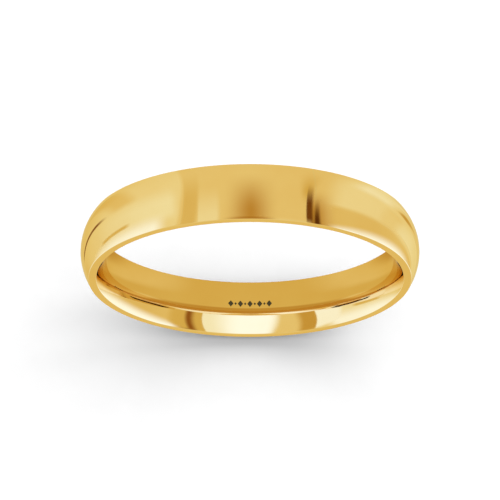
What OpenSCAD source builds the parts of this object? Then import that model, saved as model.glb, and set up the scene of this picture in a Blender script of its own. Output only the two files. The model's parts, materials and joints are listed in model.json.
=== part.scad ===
// Plain wedding band with a domed outside and a comfort-fit bore.
// The ring stands upright: the finger's axis is Y, up is +Z, and the origin is the bore's centre.
// All lengths are in millimetres and all angles in degrees.

/* [Band] */
// Inside diameter at the waist of the bore, which sets the ring size (17.5 is a 55 mm finger)
bore_d = 17.5; // [14:0.1:23]
// Width of the band, measured along the finger
band_w = 3.5; // [3:0.1:6]
// Thickness of the band at its crown
crown_t = 1.5; // [1.4:0.05:2.2]
// Height of the outer dome above the edges of the side rims
dome_rise = 0.52; // [0.3:0.02:0.6]
// Depth of the flare from the waist of the bore to its mouths
flare_rise = 0.53; // [0.3:0.01:0.6]
// Width of the straight land at the waist of the bore
land_w = 0.6; // [0.4:0.1:1]
// Radius of the polished edges between the side rims and the curved faces
edge_r = 0.08; // [0.04:0.01:0.1]

/* [Soldered joint] */
// Thickness of the solder between the ends of the strip
seam_t = 0.1; // [0.05:0.01:0.2]
// Place of the soldered joint around the band, from the top towards +X
seam_angle = 22; // [0:1:90]

/* [Engraved mark] */
// Number of large lozenges in the mark inside the bore
mark_count = 5; // [3:1:7]
// Distance between the middles of neighbouring large lozenges
mark_pitch = 0.6; // [0.5:0.05:0.7]
// Height of a large lozenge, measured along the finger
mark_h = 0.43; // [0.3:0.01:0.5]
// Width of a large lozenge, measured around the bore
mark_w = 0.34; // [0.2:0.01:0.4]
// Size of a small lozenge as a share of a large one
mark_small = 0.44; // [0.2:0.02:0.5]
// Depth of the engraving below the waist of the bore
mark_depth = 0.15; // [0.1:0.01:0.2]
// Distance of the mark from the middle of the band, towards the far mouth
mark_offset = 0.1; // [0:0.05:0.5]

/* [Hidden] */

$fn = 360;
clear = 1;                                     // how far a cutting shape runs past what it cuts
half_w = band_w / 2;
half_land = land_w / 2;
waist_r = bore_d / 2;
crown_r = waist_r + crown_t;
mouth_r = waist_r + flare_rise;
shoulder_r = crown_r - dome_rise;

// A circle that rises by rise over a half chord of run has this radius
function arc_r(run, rise) = (run * run + rise * rise) / (2 * rise);

dome_arc = arc_r(half_w, dome_rise);
flare_arc = arc_r(half_w - half_land, flare_rise);
dome_centre = [crown_r - dome_arc, 0];
flare_centre = [waist_r + flare_arc, half_land];

// Centre of the small circle of radius edge_r that touches the rim's line and lies inside an arc.
// side is 1 for the dome, whose arc centre is nearer the finger, and -1 for the flare.
function edge_centre(centre, arc, side) = [
    centre[0] + side * sqrt(pow(arc - edge_r, 2) - pow(half_w - edge_r - centre[1], 2)),
    half_w - edge_r
];

// What an edge of radius edge_r takes away from the sharp corner between an arc and the rim
module edge_cut(centre, arc, side) {
    middle = edge_centre(centre, arc, side);
    along = (middle - centre) / norm(middle - centre);
    on_arc = middle + edge_r * along;
    on_rim = middle + [0, edge_r];
    difference() {
        polygon([
            middle,
            on_rim,
            on_rim + [0, clear],
            [on_arc[0] + along[0] * clear, on_rim[1] + clear],
            on_arc + along * clear,
            on_arc
        ]);
        translate(middle) circle(r = edge_r);
    }
}

// Both edges of the rim at +Y
module edge_cuts() {
    edge_cut(dome_centre, dome_arc, 1);
    edge_cut(flare_centre, flare_arc, -1);
}

// Half of the bore's outline: the flare at +Y, with its half of the straight land
module flare_half() {
    translate(flare_centre) circle(r = flare_arc);
    translate([waist_r, 0]) square([flare_arc, half_land]);
}

// Cross-section of the band, with x as the distance from the finger's axis and y along it
module section() {
    difference() {
        intersection() {
            translate([waist_r, -half_w]) square([crown_t, band_w]);
            translate(dome_centre) circle(r = dome_arc);
            union() {
                flare_half();
                mirror([0, 1]) flare_half();
            }
        }
        edge_cuts();
        mirror([0, 1]) edge_cuts();
    }
}

// The whole ring before it is parted at the joint and engraved, revolved from the joint's middle
module full_ring() {
    rotate([0, seam_angle - 90, 0])
        rotate([-90, 0, 0])
            rotate_extrude() section();
}

// The gap between the ends of the strip, as a slab that stands across the band
module seam_slab() {
    rotate([0, seam_angle, 0])
        translate([-seam_t / 2, -half_w - clear, waist_r - clear])
            cube([seam_t, band_w + 2 * clear, crown_t + 2 * clear]);
}

// One lozenge of the mark as a prism that goes down into the bottom of the bore
module lozenge(size) {
    w = mark_w * size / 2;
    h = mark_h * size / 2;
    translate([0, 0, -waist_r - mark_depth])
        linear_extrude(height = mark_depth + clear)
            polygon([[w, 0], [0, h], [-w, 0], [0, -h]]);
}

// Large lozenges in a row, with a small one between each two
module mark_cut() {
    steps = 2 * (mark_count - 1);
    for (i = [0 : steps])
        translate([(i - steps / 2) * mark_pitch / 2, mark_offset, 0])
            lozenge(i % 2 == 0 ? 1 : mark_small);
}

// The gold strip, bent round, with its recesses for the mark
module band() {
    color("goldenrod")
        difference() {
            full_ring();
            seam_slab();
            mark_cut();
        }
}

// The hard solder that closes the band, filed flush with it all round
module solder_seam() {
    color("khaki")
        intersection() {
            full_ring();
            seam_slab();
        }
}

// The black filling of the engraved mark, level with the bore
module mark_fill() {
    color("black")
        intersection() {
            full_ring();
            mark_cut();
        }
}

band();
solder_seam();
mark_fill();
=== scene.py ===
import json
import math

import bpy
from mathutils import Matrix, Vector


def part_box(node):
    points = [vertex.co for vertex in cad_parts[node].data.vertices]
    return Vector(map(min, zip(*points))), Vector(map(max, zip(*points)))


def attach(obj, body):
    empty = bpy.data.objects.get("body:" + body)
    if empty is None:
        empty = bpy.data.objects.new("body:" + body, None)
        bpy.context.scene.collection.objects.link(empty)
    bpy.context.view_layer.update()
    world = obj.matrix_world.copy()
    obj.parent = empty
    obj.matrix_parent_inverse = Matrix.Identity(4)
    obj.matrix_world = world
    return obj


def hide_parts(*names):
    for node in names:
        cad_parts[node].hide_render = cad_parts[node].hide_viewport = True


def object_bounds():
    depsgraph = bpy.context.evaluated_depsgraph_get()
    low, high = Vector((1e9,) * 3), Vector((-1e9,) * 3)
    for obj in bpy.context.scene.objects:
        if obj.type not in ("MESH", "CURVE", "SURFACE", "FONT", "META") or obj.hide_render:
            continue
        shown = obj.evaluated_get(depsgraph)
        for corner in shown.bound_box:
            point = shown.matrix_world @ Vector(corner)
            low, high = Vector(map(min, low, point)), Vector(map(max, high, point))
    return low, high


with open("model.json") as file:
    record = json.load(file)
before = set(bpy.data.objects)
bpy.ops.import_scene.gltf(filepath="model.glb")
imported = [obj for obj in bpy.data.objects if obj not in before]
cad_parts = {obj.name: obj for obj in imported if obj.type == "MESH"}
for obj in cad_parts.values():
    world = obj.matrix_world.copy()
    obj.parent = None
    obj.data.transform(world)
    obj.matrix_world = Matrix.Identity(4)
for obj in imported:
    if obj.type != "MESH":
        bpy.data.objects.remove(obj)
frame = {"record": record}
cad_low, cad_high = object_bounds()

# ---------------------------------------------------------------- sizes, in metres

MM = 0.001
TURN = 2 * math.pi
QUARTER = math.pi / 2

crown_r = cad_high.z
half_w = cad_high.y
mounts = {mount["name"]: mount for mount in frame["record"]["mounts"]}
waist_r = mounts["finger_bore"]["dims"]["r_mm"] * MM
seam_low, seam_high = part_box("solder_seam")
mark_low, mark_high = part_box("mark_fill")

DOME_RISE = 0.52 * MM          # height of the crown above the edges of the rims
FLARE_RISE = 0.53 * MM         # depth of the bore's flare at its mouths
EDGE_R = 0.08 * MM             # polished edges between the rims and the curved faces
SEAM_T = 0.1 * MM              # solder between the ends of the strip

MARK_COUNT = 5                 # large lozenges in the engraved row
MARK_W = 0.34 * MM             # a large lozenge around the bore
MARK_SMALL = 0.44              # a small lozenge as a share of a large one
MARK_SINK = 0.02 * MM          # how far the edges of the black filling lie below the bore
CUT_RISE = 1 * MM              # height of the prisms that cut the recesses
mark_h = mark_high.y - mark_low.y
mark_y = (mark_high.y + mark_low.y) / 2
mark_pitch = (mark_high.x - mark_low.x - MARK_W) / (MARK_COUNT - 1)
mark_floor = mark_low.z

seam_mid = (seam_low + seam_high) / 2
seam_angle = math.atan2(seam_mid.x, seam_mid.z)
seam_half = SEAM_T / 2 / ((crown_r + waist_r) / 2)

ROUND_STEPS = 480              # steps round the band
FACE_STEPS = 44                # steps across the dome and across the bore
EDGE_STEPS = 7                 # steps round each polished edge
SEAM_STEPS = 2                 # steps round the solder
LOZENGE_STEPS = 4              # steps along each edge of a lozenge's filling

SAME_POINT = 1e-9              # points nearer than this, in metres, are one point
ANGLE_SLACK = 1e-4             # how far past an arc's first angle still counts as on it
ON_SURFACE = 0.9               # a face lies on the band's surface if its normal agrees this well


# ---------------------------------------------------------------- cross-section of the band

def arc_radius(run, rise):
    """Radius of the circle that rises by rise over a half chord of run."""
    return (run * run + rise * rise) / (2 * rise)


def edge_centre(centre_r, arc, side):
    """Middle of the small circle that touches both a face's arc and the rim at +Y."""
    y = half_w - EDGE_R
    return centre_r + side * math.sqrt((arc - EDGE_R) ** 2 - y * y), y


dome_arc = arc_radius(half_w, DOME_RISE)
flare_arc = arc_radius(half_w, FLARE_RISE)
dome_r = crown_r - dome_arc
flare_r = waist_r + flare_arc
outer_r, edge_y = edge_centre(dome_r, dome_arc, 1)
inner_r, edge_y = edge_centre(flare_r, flare_arc, -1)
dome_end = math.atan2(edge_y, outer_r - dome_r)
flare_end = math.atan2(edge_y, inner_r - flare_r)

# The outline is convex, so its normal turns once round. Each arc is its centre's radius and y,
# its own radius, the normal's first and last angle, and the number of steps.
SECTION = [
    (dome_r, 0, dome_arc, dome_end, -dome_end, FACE_STEPS),
    (outer_r, -edge_y, EDGE_R, -dome_end, -QUARTER, EDGE_STEPS),
    (inner_r, -edge_y, EDGE_R, -QUARTER, -flare_end, EDGE_STEPS),
    (flare_r, 0, flare_arc, -flare_end, flare_end - TURN, FACE_STEPS),
    (inner_r, edge_y, EDGE_R, flare_end - TURN, QUARTER - TURN, EDGE_STEPS),
    (outer_r, edge_y, EDGE_R, QUARTER - TURN, dome_end - TURN, EDGE_STEPS),
]


def outline():
    """Points (radius, y) of the cross-section, once round, without doubles."""
    points = []
    for centre_r, centre_y, radius, first, last, steps in SECTION:
        for step in range(steps + 1):
            angle = first + (last - first) * step / steps
            point = (centre_r + radius * math.cos(angle), centre_y + radius * math.sin(angle))
            if not points or math.dist(point, points[-1]) > SAME_POINT:
                points.append(point)
    points.pop()
    return points


def section_normal(point):
    """The true normal of the band's surface at a point on it."""
    radius = math.hypot(point.x, point.z)
    best = None
    for centre_r, centre_y, arc, first, last, _ in SECTION:
        across, along = radius - centre_r, point.y - centre_y
        angle = math.atan2(along, across)
        if angle > first + ANGLE_SLACK:
            angle -= TURN
        outside = max(0, last - angle) * arc
        miss = abs(math.hypot(across, along) - arc) + outside
        if best is None or miss < best[0]:
            best = (miss, math.cos(angle), math.sin(angle))
    return Vector((best[1] * point.x / radius, best[2], best[1] * point.z / radius))


# ---------------------------------------------------------------- meshes

def new_object(name, vertices, faces):
    """A mesh object in the scene, made from its points and faces."""
    mesh = bpy.data.meshes.new(name)
    mesh.from_pydata(vertices, [], faces)
    mesh.validate()
    made = bpy.data.objects.new(name, mesh)
    bpy.context.scene.collection.objects.link(made)
    return made


def revolve(name, first, last, steps):
    """The cross-section swept round the finger's axis from one angle to another, with closed ends."""
    points = outline()
    count = len(points)
    vertices = []
    for step in range(steps + 1):
        angle = first + (last - first) * step / steps
        vertices += [(r * math.sin(angle), y, r * math.cos(angle)) for r, y in points]
    faces = [tuple(range(count)), tuple(range(steps * count, (steps + 1) * count))[::-1]]
    for step in range(steps):
        for i in range(count):
            near, far = step * count, (step + 1) * count
            after = (i + 1) % count
            faces.append((near + i, far + i, far + after, near + after))
    return new_object(name, vertices, faces)


def true_normals(piece):
    """Gives faces that lie on the band's surface its exact normals, and leaves cut faces flat."""
    mesh = piece.data
    mesh.shade_smooth()
    exact = [section_normal(vertex.co) for vertex in mesh.vertices]
    normals = []
    for polygon in mesh.polygons:
        for index in polygon.vertices:
            on_surface = exact[index].dot(polygon.normal) > ON_SURFACE
            normals.append(exact[index] if on_surface else polygon.normal)
    mesh.normals_split_custom_set(normals)


def lozenge_sizes():
    """Place along the row and size of every lozenge in the mark."""
    last = 2 * (MARK_COUNT - 1)
    for i in range(last + 1):
        yield (i - last / 2) * mark_pitch / 2, 1 if i % 2 == 0 else MARK_SMALL


def lozenge_outline(middle, size, steps):
    """Points (x, y) round a lozenge whose edges are each divided into steps."""
    corners = [(0.5, 0), (0, 0.5), (-0.5, 0), (0, -0.5)]
    points = []
    for i, (x0, y0) in enumerate(corners):
        x1, y1 = corners[(i + 1) % 4]
        for step in range(steps):
            t = step / steps
            x, y = x0 + (x1 - x0) * t, y0 + (y1 - y0) * t
            points.append((middle + x * size * MARK_W, mark_y + y * size * mark_h))
    return points


def bore_z(x, y):
    """Height of the bore's bottom at a place along and across it."""
    radius = flare_r - math.sqrt(flare_arc**2 - y * y)
    return -math.sqrt(radius**2 - x * x)


def stack(vertices, faces, loops):
    """Adds a closed solid made of loops of points, from the lowest loop to the highest."""
    start, count = len(vertices), len(loops[0])
    for loop in loops:
        vertices += loop
    faces.append(tuple(range(start, start + count))[::-1])
    for level in range(len(loops) - 1):
        low = start + level * count
        for i in range(count):
            after = (i + 1) % count
            faces.append((low + i, low + after, low + count + after, low + count + i))
    top = start + (len(loops) - 1) * count
    faces.append(tuple(range(top, top + count)))


def mark_cutter():
    """The prisms that cut the recesses of the mark."""
    vertices, faces = [], []
    for middle, size in lozenge_sizes():
        points = lozenge_outline(middle, size, 1)
        loops = [[(x, y, z) for x, y in points] for z in (mark_floor, mark_floor + CUT_RISE)]
        stack(vertices, faces, loops)
    return new_object("cutter", vertices, faces)


def cut(piece, cutter):
    """Takes the cutter out of the piece and removes it."""
    modifier = piece.modifiers.new("cut", "BOOLEAN")
    modifier.object = cutter
    modifier.operation = "DIFFERENCE"
    modifier.solver = "EXACT"
    graph = bpy.context.evaluated_depsgraph_get()
    piece.data = bpy.data.meshes.new_from_object(piece.evaluated_get(graph))
    piece.modifiers.clear()
    bpy.data.objects.remove(cutter)


# Loops of the filling's crowned face: share of the lozenge's outline, and share of the full sink
CROWN = [(1, 1), (0.75, 0.5), (0.4, 0.25)]


def mark_filling():
    """Black lacquer in the recesses: each lozenge sinks a little and rises again to its middle."""
    vertices, faces = [], []
    for middle, size in lozenge_sizes():
        points = lozenge_outline(middle, size, LOZENGE_STEPS)
        loops = [[(x, y, mark_floor) for x, y in points]]
        for share, sink in CROWN:
            loop = []
            for x, y in points:
                x = middle + (x - middle) * share
                y = mark_y + (y - mark_y) * share
                loop.append((x, y, bore_z(x, y) - sink * MARK_SINK))
            loops.append(loop)
        stack(vertices, faces, loops)
    made = new_object("black_filling", vertices, faces)
    made.data.shade_smooth()
    return made


# ---------------------------------------------------------------- materials

class Nodes:
    """A short way to write a node tree."""

    def __init__(self, tree):
        self.tree = tree
        tree.nodes.clear()

    def add(self, kind, inputs=None, **settings):
        """A node whose inputs are linked, where they come from other nodes, or set."""
        node = self.tree.nodes.new(kind)
        for name, value in settings.items():
            setattr(node, name, value)
        for name, value in (inputs or {}).items():
            if isinstance(value, bpy.types.NodeSocket):
                self.tree.links.new(value, node.inputs[name])
            else:
                node.inputs[name].default_value = value
        return node

    def math(self, operation, first, second=0.0):
        """The result of one operation on one or two values."""
        return self.add("ShaderNodeMath", {0: first, 1: second}, operation=operation).outputs[0]

    def ramp(self, factor, low, high, first, last):
        """Maps a factor between low and high onto first and last, clamped."""
        values = {"Value": factor, "From Min": low, "From Max": high, "To Min": first, "To Max": last}
        return self.add("ShaderNodeMapRange", values).outputs[0]


def new_material(name):
    """A material with an empty node tree."""
    material = bpy.data.materials.new(name)
    material.use_nodes = True
    return material, Nodes(material.node_tree)


def round_the_finger(nodes, along, across):
    """Coordinates that change slowly round the band and quickly across it, for polishing marks."""
    place = nodes.add("ShaderNodeTexCoord").outputs["Object"]
    parts = nodes.add("ShaderNodeSeparateXYZ", {0: place}).outputs
    radius = nodes.math("SQRT", nodes.math("ADD", nodes.math("MULTIPLY", parts[0], parts[0]),
                                           nodes.math("MULTIPLY", parts[2], parts[2])))
    vector = nodes.add("ShaderNodeCombineXYZ", {
        0: nodes.math("MULTIPLY", parts[0], along),
        1: nodes.math("MULTIPLY", parts[1], across),
        2: nodes.math("MULTIPLY", parts[2], along),
    }).outputs[0]
    return vector, nodes.math("MULTIPLY", radius, across)


def streaks(nodes, along, across, detail):
    """Noise drawn out into fine lines round the finger."""
    vector, depth = round_the_finger(nodes, along, across)
    values = {"Vector": vector, "W": depth, "Scale": 1.0, "Detail": detail, "Roughness": 0.6}
    return nodes.add("ShaderNodeTexNoise", values, noise_dimensions="4D").outputs["Fac"]


def blotches(nodes, scale, detail):
    """Plain noise at so many patches a metre."""
    place = nodes.add("ShaderNodeTexCoord").outputs["Object"]
    values = {"Vector": place, "Scale": scale, "Detail": detail, "Roughness": 0.55}
    return nodes.add("ShaderNodeTexNoise", values).outputs["Fac"]


def mixed_colour(nodes, factor, first, last):
    """A colour between two others."""
    mix = nodes.add("ShaderNodeMix", data_type="RGBA")
    nodes.tree.links.new(factor, mix.inputs[0])
    mix.inputs[6].default_value = (*first, 1)
    mix.inputs[7].default_value = (*last, 1)
    return mix.outputs[2]


GOLD_PALE = (1.0, 0.77, 0.43)
GOLD_DEEP = (0.98, 0.73, 0.38)
SOLDER_PALE = (0.98, 0.77, 0.45)
SOLDER_DEEP = (0.96, 0.74, 0.41)
EDGE_GOLD = (0.92, 0.77, 0.49)  # how the metal's reflections are tinted at grazing angles


def polished_gold(name, pale, deep, smooth, dull):
    """Polished metal: cloudy colour, roughness that changes, and fine lines left by the polishing."""
    material, nodes = new_material(name)
    clouds = blotches(nodes, 260.0, 3.0)
    lines = streaks(nodes, 320.0, 16000.0, 4.0)
    hairs = streaks(nodes, 900.0, 60000.0, 2.0)
    colour = mixed_colour(nodes, nodes.ramp(clouds, 0.35, 0.65, 0, 1), pale, deep)
    wear = nodes.math("ADD", nodes.ramp(clouds, 0.3, 0.7, 0, 0.6), nodes.ramp(lines, 0.45, 0.75, 0, 0.4))
    relief = nodes.math("ADD", nodes.math("MULTIPLY", lines, 0.7), nodes.math("MULTIPLY", hairs, 0.3))
    bump = nodes.add("ShaderNodeBump", {"Strength": 0.03, "Distance": 0.00001, "Height": relief})
    shader = nodes.add("ShaderNodeBsdfPrincipled", {
        "Base Color": colour,
        "Metallic": 1.0,
        "Specular Tint": (*EDGE_GOLD, 1),
        "Roughness": nodes.ramp(wear, 0, 1, smooth, dull),
        "Normal": bump.outputs[0],
    })
    nodes.add("ShaderNodeOutputMaterial", {"Surface": shader.outputs[0]})
    return material


def black_lacquer():
    """Lacquer rubbed into the engraving: near black, a little brown where it is thin."""
    material, nodes = new_material("black_lacquer")
    clouds = blotches(nodes, 9000.0, 4.0)
    grain = blotches(nodes, 60000.0, 3.0)
    bump = nodes.add("ShaderNodeBump", {"Strength": 0.3, "Distance": 0.000005, "Height": grain})
    shader = nodes.add("ShaderNodeBsdfPrincipled", {
        "Base Color": mixed_colour(nodes, clouds, (0.012, 0.010, 0.004), (0.060, 0.045, 0.012)),
        "Roughness": nodes.ramp(grain, 0.3, 0.7, 0.35, 0.6),
        "Normal": bump.outputs[0],
    })
    nodes.add("ShaderNodeOutputMaterial", {"Surface": shader.outputs[0]})
    return material


# ---------------------------------------------------------------- the pieces

band = revolve("gold_band", seam_angle + seam_half, seam_angle - seam_half + TURN, ROUND_STEPS)
cut(band, mark_cutter())
true_normals(band)
band.data.materials.clear()
band.data.materials.append(polished_gold("yellow_gold", GOLD_PALE, GOLD_DEEP, 0.025, 0.055))
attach(band, "root")
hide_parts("band")

seam = revolve("solder_joint", seam_angle - seam_half, seam_angle + seam_half, SEAM_STEPS)
true_normals(seam)
seam.data.materials.append(polished_gold("gold_solder", SOLDER_PALE, SOLDER_DEEP, 0.03, 0.06))
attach(seam, "root")
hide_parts("solder_seam")

filling = mark_filling()
filling.data.materials.append(black_lacquer())
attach(filling, "root")
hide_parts("mark_fill")


# ---------------------------------------------------------------- studio: floor and light

floor_z = -crown_r

SKY_R = 0.5                    # distance of the far cards from the ring
SKY_STEPS = 48                 # steps along each edge of a far card
FLAT_STEPS = 8                 # steps along each edge of a flat card
DISC_STEPS = 24                # steps along each edge of a sector behind the ring
LAYER = 0.003                  # each later card stands this much nearer
LOWEST_TILT = 172              # no far card reaches further from straight up than this, in degrees

# What a card of each brightness sends out: dim ones are warm, bright ones are neutral
TINTS = [
    (0.00, (0.02, 0.00, 0.00)),
    (0.10, (0.30, 0.12, 0.02)),
    (0.20, (0.48, 0.27, 0.05)),
    (0.35, (0.64, 0.47, 0.12)),
    (0.50, (0.77, 0.66, 0.31)),
    (0.60, (0.83, 0.80, 0.51)),
    (0.70, (0.88, 0.94, 0.78)),
    (0.85, (0.96, 1.13, 1.35)),
    (1.00, (1.06, 1.32, 1.86)),
]


def tint(level):
    """Colour of a card by its brightness."""
    for (low, first), (high, last) in zip(TINTS, TINTS[1:]):
        if level <= high:
            share = (level - low) / (high - low)
            return tuple(a + (b - a) * share for a, b in zip(first, last))
    return TINTS[-1][1]


# Each reflection after the first would tint light by the gold again, which the photographed ring
# doesn't show, so this much of each colour is given back and the rest goes evenly darker
GIVEN_BACK = (0.95, 1.09, 1.55)


def metal_light(nodes, level):
    """Light of one brightness that reaches the camera by way of metal alone, and not the floor."""
    path = nodes.add("ShaderNodeLightPath").outputs
    more = nodes.math("MAXIMUM", nodes.math("SUBTRACT", path["Glossy Depth"], 1.0), 0.0)
    parts = [nodes.math("MULTIPLY", part, nodes.math("POWER", back, more))
             for part, back in zip(tint(level), GIVEN_BACK)]
    colour = nodes.add("ShaderNodeCombineColor", dict(enumerate(parts))).outputs[0]
    return colour, nodes.math("LESS_THAN", path["Diffuse Depth"], 0.5), path["Glossy Depth"]


def card_material(name, level, soft, deep):
    """Light or shade that fades out towards a card's four edges. A deep one needs two reflections."""
    material, nodes = new_material(name)
    place = nodes.add("ShaderNodeTexCoord").outputs["UV"]
    u, v, _ = nodes.add("ShaderNodeSeparateXYZ", {0: place}).outputs
    facing = nodes.math("SUBTRACT", 1.0, nodes.add("ShaderNodeNewGeometry").outputs["Backfacing"])
    inward = [u, nodes.math("SUBTRACT", 1.0, u), v, nodes.math("SUBTRACT", 1.0, v)]
    for part, width in zip(inward, soft):
        if width > 0:
            values = {"Value": part, "From Min": 0.0, "From Max": width}
            fade = nodes.add("ShaderNodeMapRange", values, interpolation_type="SMOOTHSTEP").outputs[0]
            facing = nodes.math("MULTIPLY", facing, fade)
    colour, metal_only, depth = metal_light(nodes, level)
    facing = nodes.math("MULTIPLY", facing, metal_only)
    if deep:
        facing = nodes.math("MULTIPLY", facing, nodes.math("GREATER_THAN", depth, 1.5))
    clear = nodes.add("ShaderNodeBsdfTransparent").outputs[0]
    light = nodes.add("ShaderNodeEmission", {"Color": colour, "Strength": 1.0}).outputs[0]
    mix = nodes.add("ShaderNodeMixShader", {0: facing, 1: clear, 2: light})
    nodes.add("ShaderNodeOutputMaterial", {"Surface": mix.outputs[0]})
    return material


def only_in_reflections(item):
    """The camera, the floor and shadows don't meet this object."""
    item.visible_camera = False
    item.visible_diffuse = False
    item.visible_shadow = False
    item.visible_transmission = False
    item.visible_volume_scatter = False


def card(name, corners, level, soft, place=Vector, steps=FLAT_STEPS, deep=False):
    """A card between four corners that shines towards the ring, each corner put in space by place."""
    first, second, third, fourth = [Vector(corner) for corner in corners]
    vertices, faces, uvs = [], [], []
    for j in range(steps + 1):
        for i in range(steps + 1):
            u, v = i / steps, j / steps
            vertices.append(place(first.lerp(second, u).lerp(fourth.lerp(third, u), v)))
            uvs.append((u, v))
    centre = len(vertices) // 2
    middle = vertices[centre]
    rise = (vertices[centre + 1] - middle).cross(vertices[centre + steps + 1] - middle)
    for j in range(steps):
        for i in range(steps):
            at = j * (steps + 1) + i
            face = (at, at + 1, at + steps + 2, at + steps + 1)
            faces.append(face if rise.dot(middle) < 0 else face[::-1])
    made = new_object(name, vertices, faces)
    layer = made.data.uv_layers.new(name="UVMap")
    for loop in made.data.loops:
        layer.data[loop.index].uv = uvs[loop.vertex_index]
    made.data.materials.append(card_material(name, level, soft, deep))
    only_in_reflections(made)


def sky(radius):
    """Puts a point (degrees to the right, degrees to the back of straight up) on a sphere."""
    def place(point):
        tilt = math.radians(min(point.length, LOWEST_TILT))
        turn = math.atan2(point.x, point.y)
        flat = math.sin(tilt)
        return Vector((flat * math.sin(turn), flat * math.cos(turn), math.cos(tilt))) * radius
    return place


def rectangle(a0, a1, b0, b1):
    """Corners of a rectangle from a0 to a1 one way and from b0 to b1 the other."""
    return [(a0, b0), (a1, b0), (a1, b1), (a0, b1)]


# Far cards from back to front: name, corners in degrees from straight up, brightness, and the
# share of the card over which it fades at its left, right, front and back edges
SKY_CARDS = [
    ("right_wall", rectangle(45, 160, -2, 150), 0.62, (0.16, 0, 0.08, 0)),
    ("left_wall", [(-160, -70), (-49, -70), (-33, 150), (-160, 150)], 0.60, (0.2, 0.03, 0, 0)),
    ("floor_glow", rectangle(-74, 76, 102, 170), 0.98, (0.12, 0.12, 0.3, 0)),
    ("left_bright", rectangle(-130, -45, -34, 54), 0.69, (0.75, 0.1, 0.3, 0.5)),
    ("left_dusk", rectangle(-102, -70, 32, 114), 0.50, (0.4, 0.4, 0.25, 0.2)),
    ("left_glow", rectangle(-150, -54, -95, -4), 0.90, (0.25, 0.14, 0, 0.37)),
    ("right_bright", rectangle(58, 100, 58, 120), 0.75, (0.35, 0.35, 0.35, 0.2)),
    ("right_far", rectangle(104, 160, 11, 84), 0.71, (0.38, 0, 0.12, 0.15)),
    ("right_dusk", rectangle(88, 114, 8, 68), 0.57, (0.4, 0.4, 0.1, 0.3)),
    ("right_shade", [(50, -42), (124, -42), (124, 21), (50, 11)], 0.475, (0.1, 0.3, 0, 0.3)),
    ("right_glow", [(48, -95), (150, -95), (150, 7), (48, -34.5)], 1.0, (0.1, 0, 0, 0.31)),
    ("roof_front", rectangle(4, 37, -70, -34), 0.61, (0.6, 0.02, 0, 0.45)),
    ("roof_patch", rectangle(-34.5, -18, -70, 36), 0.64, (0.08, 0.25, 0, 0.75)),
    ("roof_dark", rectangle(-18.5, 19.5, -43.5, 65), 0.21, (0.55, 0.55, 0.03, 0.85)),
    ("roof_dark_end", rectangle(-19, 19, -43, -35), 0.17, (0.5, 0.5, 0.1, 0.7)),
    ("left_bar", [(-48, -70), (-35.5, -70), (-28, 82), (-40, 82)], 0.435, (0.15, 0.3, 0.1, 0.5)),
    ("right_bar_top", [(32.5, -8), (40, -8), (48, 86), (26, 86)], 0.35, (0.5, 0.45, 0.4, 0.8)),
    ("right_bar_halo", [(39, -62), (61, -62), (58, 40), (38, 40)], 0.22, (0.1, 0.85, 0.15, 0.6)),
    ("right_bar", [(36.2, -50), (42.8, -50), (41, 46), (36.2, 46)], 0.05, (0.16, 0.4, 0.2, 0.5)),
    ("right_bar_thin", [(40.8, -54), (48, -54), (46, 18), (42.4, 18)], 0.03, (0.3, 0.45, 0.2, 0.7)),
    ("left_streak", [(-120, -15), (-84, -14), (-84, -3), (-118, -4)], 0.42, (0.2, 0.2, 0.35, 0.4)),
    ("left_low_bar", [(-138, 53), (-100, 38), (-100, 50), (-138, 66)], 0.07, (0.15, 0.35, 0.35, 0.35)),
    ("right_low_bar", rectangle(95, 114, 71, 97), 0.30, (0.35, 0.5, 0.35, 0.5)),
]

for i, (name, corners, level, soft) in enumerate(SKY_CARDS):
    card(name, corners, level, soft, sky(SKY_R - i * LAYER), SKY_STEPS)

# Small cards close to the ring, for the bore to show. The bright and dark strips for its front half
# lie just over the finger's axis. Each is its two edges' x nearest the ring, the same two furthest
# from it, all in mm, then brightness and fades at its left, right, near and far ends.
STRIP_NEAR = -1.2 * MM
STRIP_FAR = -16 * MM
STRIP_Z = 0.4 * MM             # height of the first strip
STRIP_LAYER = 0.02 * MM        # each later strip lies this much lower
FRONT_STRIPS = [
    ("bore_left_light", (-26, -6.1), (-26, -9.3), 0.86, (0.5, 0.02, 0, 0.3)),
    ("bore_right_dusk", (3.4, 13), (4.6, 19), 0.38, (0, 0.5, 0, 0.3)),
    ("bore_left_half", (-4.2, -1.4), (-7.0, -1.6), 0.52, (0.1, 0.25, 0, 0.3)),
    ("bore_left_dusk", (-6.3, -2.9), (-9.4, -5.2), 0.28, (0.08, 0.35, 0, 0.3)),
    ("bore_half_light", (-2.2, 3.6), (-2.5, 4.9), 0.78, (0.15, 0.02, 0, 0.3)),
    ("bore_light", (-2.1, 2.9), (-2.4, 3.9), 0.96, (0.2, 0.5, 0, 0.3)),
    ("bore_dark_line", (4.2, 6.4), (5.7, 8.8), 0.09, (0.5, 0.45, 0, 0.3)),
]

for i, (name, near, far, level, soft) in enumerate(FRONT_STRIPS):
    height = STRIP_Z - i * STRIP_LAYER
    corners = [(near[0] * MM, STRIP_NEAR, height), (near[1] * MM, STRIP_NEAR, height),
               (far[1] * MM, STRIP_FAR, height), (far[0] * MM, STRIP_FAR, height)]
    card(name, corners, level, soft)

DISC_Y = 1.8 * MM              # how far the first sector stands behind the middle of the band
DISC_LAYER = 0.01 * MM         # each later sector stands this much nearer

# Behind the ring, sectors of a disc: inner and outer radius in mm, first and last angle in degrees
# from the top, brightness and fades at the inner, outer, first and last edges
BACK_SECTORS = [
    ("bore_shade", rectangle(0, 9.65, 0, 360), 0.24, (0, 0, 0, 0)),
    ("bore_low_shade", rectangle(0, 9.65, 95, 265), 0.39, (0.1, 0, 0.35, 0.35)),
    ("bore_right_shade", rectangle(5.5, 9.3, 112, 162), 0.48, (0.6, 0, 0.4, 0.4)),
    ("bore_left_shade", rectangle(5.5, 9.3, 198, 248), 0.48, (0.6, 0, 0.4, 0.4)),
]


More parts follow.
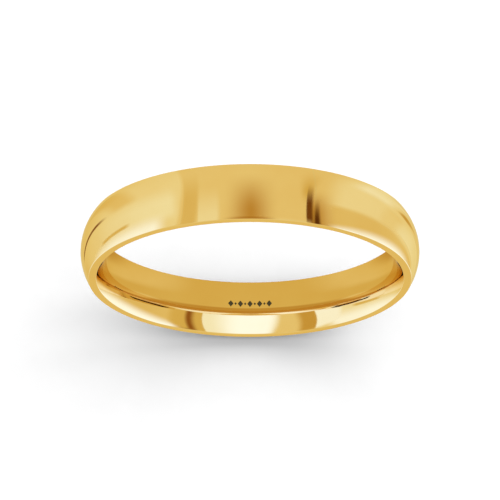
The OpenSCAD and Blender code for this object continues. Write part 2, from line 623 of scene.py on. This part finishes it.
def on_disc(distance):
    """Puts a point (radius in mm, degrees from the top) on a disc that far behind the middle."""
    def place(point):
        turn = math.radians(point.y)
        radius = point.x * MM
        return Vector((radius * math.sin(turn), distance, radius * math.cos(turn)))
    return place


for i, (name, corners, level, soft) in enumerate(BACK_SECTORS):
    card(name, corners, level, soft, on_disc(DISC_Y - i * DISC_LAYER), DISC_STEPS)

# Shade that the bore shows only where it meets its own reflection, at either side and under its
# front: place in mm, height in mm, brightness and fades
DEEP_CARDS = [
    ("bore_gap_left", rectangle(-6, -8, -2.2, -5), 0.2, 0, (0.1, 0.1, 0.1, 0.1)),
    ("bore_gap_right", rectangle(6, 8, -2.2, -5), 0.2, 0, (0.1, 0.1, 0.1, 0.1)),
    ("under_shade", rectangle(-3, 3, -5, -8), -9.2, 0.10, (0.1, 0.1, 0, 0.1)),
]

for name, corners, height, level, soft in DEEP_CARDS:
    corners = [(x * MM, y * MM, height * MM) for x, y in corners]
    card(name, corners, level, soft, deep=True)


FLOOR_REACH = 1.2              # from the middle of the floor to its edges


def pale_floor():
    """A wide pale sheet with a faint paper grain."""
    sheet = rectangle(-FLOOR_REACH, FLOOR_REACH, -FLOOR_REACH, FLOOR_REACH)
    corners = [(x, y, floor_z) for x, y in sheet]
    made = new_object("floor", corners, [(0, 1, 2, 3)])
    material, nodes = new_material("pale_paper")
    grain = blotches(nodes, 700.0, 2.0)
    shader = nodes.add("ShaderNodeBsdfPrincipled", {
        "Base Color": mixed_colour(nodes, grain, (0.90, 0.90, 0.90), (0.93, 0.93, 0.93)),
        "Roughness": 0.9,
        "Specular IOR Level": 0.0,
    })
    nodes.add("ShaderNodeOutputMaterial", {"Surface": shader.outputs[0]})
    made.data.materials.append(material)
    made.visible_glossy = False


pale_floor()


METAL_REFLECTION_LEVEL = 0.52              # brightness of the painted reflection: even light that the metal alone shows between the cards
WORLD_LIGHT = 0.89             # what the floor gets from all round, where nothing shades it
LAMP_SPREAD = math.radians(45)

# Soft lamps for the floor and its shadow: name, degrees from +X towards the back, degrees above the
# floor, and strength
LAMPS = [
    ("side_lamp", 0, 48, 0.72),
    ("corner_lamp", 45, 48, 0.44),
    ("back_lamp", 90, 25, 0.80),
]


def studio_world():
    """White behind the floor's edge, even light for the floor, and an even painted reflection that only
    the metal shows.
    """
    world = bpy.data.worlds.new("studio")
    bpy.context.scene.world = world
    world.use_nodes = True
    nodes = Nodes(world.node_tree)
    path = nodes.add("ShaderNodeLightPath").outputs
    colour, metal_only, _ = metal_light(nodes, METAL_REFLECTION_LEVEL)
    plain = (1, 1, 1, 1)
    white = nodes.add("ShaderNodeBackground", {"Color": plain, "Strength": 1.0}).outputs[0]
    fill = nodes.add("ShaderNodeBackground", {"Color": plain, "Strength": WORLD_LIGHT}).outputs[0]
    # painted reflection: even light that only glossy rays from the metal meet
    between = nodes.add("ShaderNodeBackground", {"Color": colour, "Strength": metal_only}).outputs[0]
    unlit = nodes.add("ShaderNodeMixShader", {0: path["Is Camera Ray"], 1: fill, 2: white}).outputs[0]
    mix = nodes.add("ShaderNodeMixShader", {0: path["Is Glossy Ray"], 1: unlit, 2: between})
    nodes.add("ShaderNodeOutputWorld", {"Surface": mix.outputs[0]})


def soft_lamp(name, turn, rise, strength):
    """A wide soft lamp, far away, that the metal doesn't show."""
    data = bpy.data.lights.new(name, "SUN")
    data.energy = strength
    data.angle = LAMP_SPREAD
    lamp = bpy.data.objects.new(name, data)
    bpy.context.scene.collection.objects.link(lamp)
    flat = math.cos(math.radians(rise))
    turn = math.radians(turn)
    towards = Vector((flat * math.cos(turn), flat * math.sin(turn), math.sin(math.radians(rise))))
    lamp.rotation_euler = (-towards).to_track_quat("-Z", "Y").to_euler()
    lamp.visible_glossy = False


studio_world()
for lamp in LAMPS:
    soft_lamp(*lamp)


# ---------------------------------------------------------------- camera

ELEVATION = math.radians(68.2)
DISTANCE = 0.2354
SENSOR = 36                    # width of the sensor, in mm
LENS = 280.4                   # focal length, in mm
AIM_UP = 0.00021               # the ring stands a little below the middle of the picture


def camera():
    """A long lens that looks down at the ring from the front."""
    back = Vector((0, -math.cos(ELEVATION), math.sin(ELEVATION)))
    up = Vector((0, math.sin(ELEVATION), math.cos(ELEVATION)))
    data = bpy.data.cameras.new("camera")
    data.sensor_width = SENSOR
    data.lens = LENS
    data.clip_start = 0.01
    data.clip_end = 10
    made = bpy.data.objects.new("camera", data)
    bpy.context.scene.collection.objects.link(made)
    made.location = back * DISTANCE + up * AIM_UP
    made.rotation_euler = (-back).to_track_quat("-Z", "Y").to_euler()
    bpy.context.scene.camera = made


camera()

bpy.context.scene.view_settings.view_transform = "Standard"
bpy.context.scene.view_settings.look = "None"
